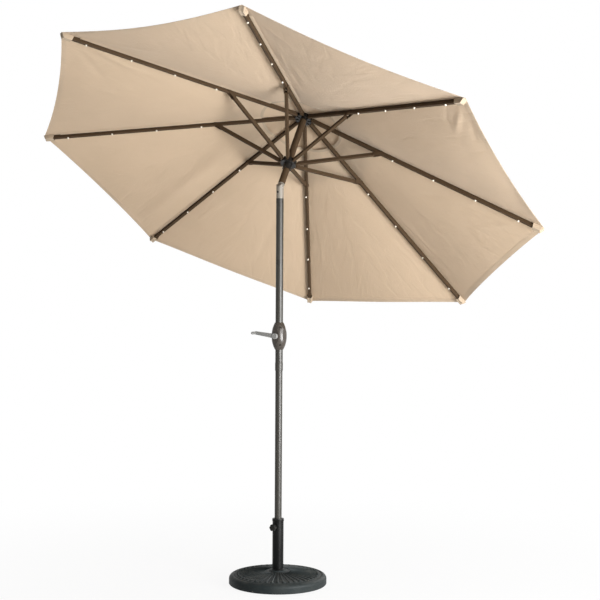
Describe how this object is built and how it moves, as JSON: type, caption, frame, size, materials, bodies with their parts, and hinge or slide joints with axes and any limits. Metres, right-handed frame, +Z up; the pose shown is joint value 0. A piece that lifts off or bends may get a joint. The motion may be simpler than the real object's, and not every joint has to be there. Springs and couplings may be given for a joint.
{
  "type": "tilting patio umbrella with base",
  "caption": "Round shade canopy on ribs with small lamps, on a pole that tilts and is cranked open, standing in a heavy round base.",
  "frame": {"origin": "centre of the base, on the floor it stands on", "axes": "+Z up along the pole; the canopy leans 34 degrees from +Y towards +X, and -Y is the side the object is seen from"},
  "size_m": [2.4636, 2.2724, 2.5893],
  "materials": {
    "base_stone": "dark antique resin stone, satin",
    "foot_rubber": "matte",
    "zinc_steel": "zinc plated",
    "dark_steel": "blackened",
    "black_paint": "black powder coat, satin",
    "bronze_paint": "dark bronze powder coat, satin gloss",
    "rib_paint": "dark brown powder coat, satin",
    "black_plastic": "moulded, fine grain",
    "hub_plastic": "moulded, fine grain",
    "housing_plastic": "moulded, satin",
    "grip_plastic": "moulded, satin",
    "crank_metal": "die cast, bare",
    "cast_aluminium": "die cast, bare",
    "canopy_cloth": "woven outdoor polyester, matte",
    "lamp_plastic": "clear lamps on a thin wire",
    "solar_glass": "dark cells under a clear face",
    "switch_plastic": "soft, matte"
  },
  "bodies": {
    "base": {"base_disc": "base_stone", "base_tube": "black_paint", "base_fasteners": "zinc_steel", "base_feet": "foot_rubber"},
    "clamp_pad": {"clamp_pad": "foot_rubber"},
    "clamp_knob": {"clamp_knob": "black_plastic"},
    "pole_collar": {"pole_collar": "black_plastic"},
    "lower_pole": {"lower_pole": "bronze_paint"},
    "upper_pole": {"upper_pole": "bronze_paint", "crank_housing_left": "housing_plastic", "crank_housing_right": "housing_plastic", "housing_screws": "dark_steel", "tilt_socket": "cast_aluminium", "tilt_pin": "zinc_steel"},
    "crank": {"crank_drum": "zinc_steel", "crank_handle": "crank_metal"},
    "crank_grip": {"crank_grip": "grip_plastic"},
    "tilt_button": {"tilt_button": "black_plastic"},
    "mast": {"mast_tube": "rib_paint", "tilt_head": "cast_aluminium", "crown": "hub_plastic", "crown_pins": "dark_steel", "solar_housing": "hub_plastic", "solar_panel": "solar_glass"},
    "sheave": {"sheave": "hub_plastic"},
    "runner": {"runner": "hub_plastic", "runner_pins": "dark_steel"},
    "solar_switch": {"solar_switch": "switch_plastic"},
    "rib_1": {"rib_1": "rib_paint", "canopy_1": "canopy_cloth", "lights_1": "lamp_plastic"},
    "strut_1": {"strut_1": "rib_paint"},
    "rib_2": {"rib_2": "rib_paint", "canopy_2": "canopy_cloth", "lights_2": "lamp_plastic"},
    "strut_2": {"strut_2": "rib_paint"},
    "rib_3": {"rib_3": "rib_paint", "canopy_3": "canopy_cloth", "lights_3": "lamp_plastic"},
    "strut_3": {"strut_3": "rib_paint"},
    "rib_4": {"rib_4": "rib_paint", "canopy_4": "canopy_cloth", "lights_4": "lamp_plastic"},
    "strut_4": {"strut_4": "rib_paint"},
    "rib_5": {"rib_5": "rib_paint", "canopy_5": "canopy_cloth", "lights_5": "lamp_plastic"},
    "strut_5": {"strut_5": "rib_paint"},
    "rib_6": {"rib_6": "rib_paint", "canopy_6": "canopy_cloth", "lights_6": "lamp_plastic"},
    "strut_6": {"strut_6": "rib_paint"},
    "rib_7": {"rib_7": "rib_paint", "canopy_7": "canopy_cloth", "lights_7": "lamp_plastic"},
    "strut_7": {"strut_7": "rib_paint"},
    "rib_8": {"rib_8": "rib_paint", "canopy_8": "canopy_cloth", "lights_8": "lamp_plastic"},
    "strut_8": {"strut_8": "rib_paint"}
  },
  "joints": [
    {"name": "clamp_travel", "type": "slide", "parent": "base", "child": "clamp_pad", "axis": [-0.5592, -0.829, 0], "range_m": [0, 0.0025]},
    {"name": "clamp_turn", "type": "hinge", "parent": "clamp_pad", "child": "clamp_knob", "pos_m": [-0.02237, -0.03316, 0.283], "axis": [-0.5592, -0.829, 0], "range_deg": [0, 601]},
    {"name": "pole_swivel", "type": "hinge", "parent": "base", "child": "pole_collar", "pos_m": [0, 0, 0.305], "axis": [0, 0, 1], "continuous": true},
    {"name": "pole_lift", "type": "slide", "parent": "pole_collar", "child": "lower_pole", "axis": [0, 0, 1], "range_m": [0, 0.28]},
    {"name": "upper_lift", "type": "slide", "parent": "lower_pole", "child": "upper_pole", "axis": [0, 0, 1], "range_m": [0, 0.12]},
    {"name": "canopy_tilt", "type": "hinge", "parent": "upper_pole", "child": "mast", "pos_m": [0, 0, 1.95], "axis": [-0.829, 0.5592, 0], "range_deg": [-30, 0]},
    {"name": "tilt_press", "type": "slide", "parent": "upper_pole", "child": "tilt_button", "axis": [0.5592, 0.829, 0], "range_m": [0, 0.003], "stiffness_N_per_m": 600, "springref_m": -0.002},
    {"name": "runner_slide", "type": "slide", "parent": "mast", "child": "runner", "axis": [-0.2796, -0.4145, -0.866], "range_m": [0, 0.06]},
    {"name": "crank_turn", "type": "hinge", "parent": "upper_pole", "child": "crank", "pos_m": [-0.01678, -0.02487, 1.2205], "axis": [-0.5592, -0.829, 0], "range_deg": [0, 330]},
    {"name": "grip_spin", "type": "hinge", "parent": "crank", "child": "crank_grip", "pos_m": [-0.12571, 0.01242, 1.23415], "axis": [-0.5592, -0.829, 0], "continuous": true},
    {"name": "sheave_turn", "type": "hinge", "parent": "mast", "child": "sheave", "pos_m": [0.10936, 0.16213, 2.27472], "axis": [-0.829, 0.5592, 0], "range_deg": [0, 276]},
    {"name": "switch_press", "type": "slide", "parent": "mast", "child": "solar_switch", "axis": [0.4843, 0.718, -0.5], "range_m": [0, 0.002], "stiffness_N_per_m": 500, "springref_m": -0.001},
    {"name": "rib_1_fold", "type": "hinge", "parent": "mast", "child": "rib_1", "pos_m": [0.12245, 0.20208, 2.30334], "axis": [-0.9513, 0.2419, 0.1913], "range_deg": [0, 4.6]},
    {"name": "rib_2_fold", "type": "hinge", "parent": "mast", "child": "rib_2", "pos_m": [0.10113, 0.1995, 2.31146], "axis": [-0.7647, -0.4493, 0.4619], "range_deg": [0, 4.6]},
    {"name": "rib_3_fold", "type": "hinge", "parent": "mast", "child": "rib_3", "pos_m": [0.09001, 0.18301, 2.32294], "axis": [-0.1302, -0.8773, 0.4619], "range_deg": [0, 4.6]},
    {"name": "rib_4_fold", "type": "hinge", "parent": "mast", "child": "rib_4", "pos_m": [0.09561, 0.16228, 2.33105], "axis": [0.5806, -0.7914, 0.1913], "range_deg": [0, 4.6]},
    {"name": "rib_5_fold", "type": "hinge", "parent": "mast", "child": "rib_5", "pos_m": [0.11464, 0.14944, 2.33105], "axis": [0.9513, -0.2419, -0.1913], "range_deg": [0, 4.6]},
    {"name": "rib_6_fold", "type": "hinge", "parent": "mast", "child": "rib_6", "pos_m": [0.13597, 0.15202, 2.32294], "axis": [0.7647, 0.4493, -0.4619], "range_deg": [0, 4.6]},
    {"name": "rib_7_fold", "type": "hinge", "parent": "mast", "child": "rib_7", "pos_m": [0.14709, 0.1685, 2.31146], "axis": [0.1302, 0.8773, -0.4619], "range_deg": [0, 4.6]},
    {"name": "rib_8_fold", "type": "hinge", "parent": "mast", "child": "rib_8", "pos_m": [0.14149, 0.18924, 2.30334], "axis": [-0.5806, 0.7914, -0.1913], "range_deg": [0, 4.6]},
    {"name": "strut_1_swing", "type": "hinge", "parent": "runner", "child": "strut_1", "pos_m": [0.04528, 0.08767, 2.06431], "axis": [0.9513, -0.2419, -0.1913], "range_deg": [0, 4]},
    {"name": "strut_2_swing", "type": "hinge", "parent": "runner", "child": "strut_2", "pos_m": [0.02396, 0.08509, 2.07243], "axis": [0.7647, 0.4493, -0.4619], "range_deg": [0, 4]},
    {"name": "strut_3_swing", "type": "hinge", "parent": "runner", "child": "strut_3", "pos_m": [0.01284, 0.0686, 2.08391], "axis": [0.1302, 0.8773, -0.4619], "range_deg": [0, 4]},
    {"name": "strut_4_swing", "type": "hinge", "parent": "runner", "child": "strut_4", "pos_m": [0.01844, 0.04787, 2.09203], "axis": [-0.5806, 0.7914, -0.1913], "range_deg": [0, 4]},
    {"name": "strut_5_swing", "type": "hinge", "parent": "runner", "child": "strut_5", "pos_m": [0.03748, 0.03503, 2.09203], "axis": [-0.9513, 0.2419, 0.1913], "range_deg": [0, 4]},
    {"name": "strut_6_swing", "type": "hinge", "parent": "runner", "child": "strut_6", "pos_m": [0.0588, 0.03761, 2.08391], "axis": [-0.7647, -0.4493, 0.4619], "range_deg": [0, 4]},
    {"name": "strut_7_swing", "type": "hinge", "parent": "runner", "child": "strut_7", "pos_m": [0.06992, 0.05409, 2.07243], "axis": [-0.1302, -0.8773, 0.4619], "range_deg": [0, 4]},
    {"name": "strut_8_swing", "type": "hinge", "parent": "runner", "child": "strut_8", "pos_m": [0.06432, 0.07483, 2.06431], "axis": [0.5806, -0.7914, 0.1913], "range_deg": [0, 4]}
  ],
  "couplings": [
    {"joint": "clamp_turn", "follows": "clamp_travel", "rad_per_m": 4188.8},
    {"joint": "crank_turn", "follows": "runner_slide", "rad_per_m": 95.238},
    {"joint": "sheave_turn", "follows": "runner_slide", "rad_per_m": 80},
    {"joint": "rib_1_fold", "follows": "runner_slide", "rad_per_m": 1.3349},
    {"joint": "rib_2_fold", "follows": "runner_slide", "rad_per_m": 1.3349},
    {"joint": "rib_3_fold", "follows": "runner_slide", "rad_per_m": 1.3349},
    {"joint": "rib_4_fold", "follows": "runner_slide", "rad_per_m": 1.3349},
    {"joint": "rib_5_fold", "follows": "runner_slide", "rad_per_m": 1.3349},
    {"joint": "rib_6_fold", "follows": "runner_slide", "rad_per_m": 1.3349},
    {"joint": "rib_7_fold", "follows": "runner_slide", "rad_per_m": 1.3349},
    {"joint": "rib_8_fold", "follows": "runner_slide", "rad_per_m": 1.3349},
    {"joint": "strut_1_swing", "follows": "runner_slide", "rad_per_m": 1.1571},
    {"joint": "strut_2_swing", "follows": "runner_slide", "rad_per_m": 1.1571},
    {"joint": "strut_3_swing", "follows": "runner_slide", "rad_per_m": 1.1571},
    {"joint": "strut_4_swing", "follows": "runner_slide", "rad_per_m": 1.1571},
    {"joint": "strut_5_swing", "follows": "runner_slide", "rad_per_m": 1.1571},
    {"joint": "strut_6_swing", "follows": "runner_slide", "rad_per_m": 1.1571},
    {"joint": "strut_7_swing", "follows": "runner_slide", "rad_per_m": 1.1571},
    {"joint": "strut_8_swing", "follows": "runner_slide", "rad_per_m": 1.1571}
  ]
}
